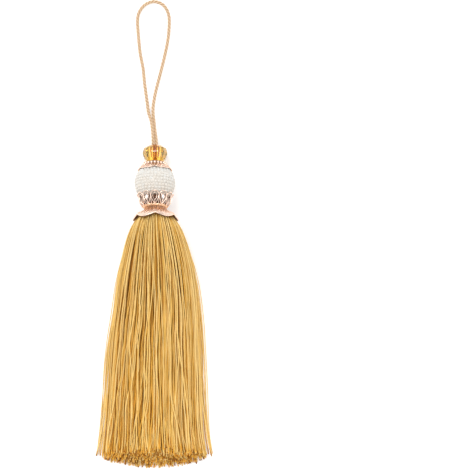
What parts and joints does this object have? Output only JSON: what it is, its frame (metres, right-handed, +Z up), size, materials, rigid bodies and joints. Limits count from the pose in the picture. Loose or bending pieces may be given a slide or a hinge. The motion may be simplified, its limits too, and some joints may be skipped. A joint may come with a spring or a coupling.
{
  "type": "curtain tieback tassel",
  "caption": "Silky yarn tassel on a twisted cord loop, with a faceted glass bead, a seed-pearl ball and metal bead caps, lying on its back.",
  "frame": {"origin": "on the surface, under the middle of the beads and skirt; the free loop is left out of the count", "axes": "+Y from the skirt's cut ends to the loop, +Z up from the surface that the tassel lies on, +X to its right"},
  "size_m": [0.0661, 0.2812, 0.0299],
  "materials": {
    "cord": "twisted silky cord",
    "amber_glass": "polished facets",
    "rose_metal": "bright rose-gold plate",
    "pearl": "pearl lustre",
    "yarn": "silky rayon"
  },
  "bodies": {
    "root": {"hanging_loop": "cord", "rondelle_bead": "amber_glass", "upper_bead_cap": "rose_metal", "pearl_ball": "pearl", "lower_bead_cap": "rose_metal", "petal_cap": "rose_metal", "tassel_skirt": "yarn"}
  },
  "joints": []
}
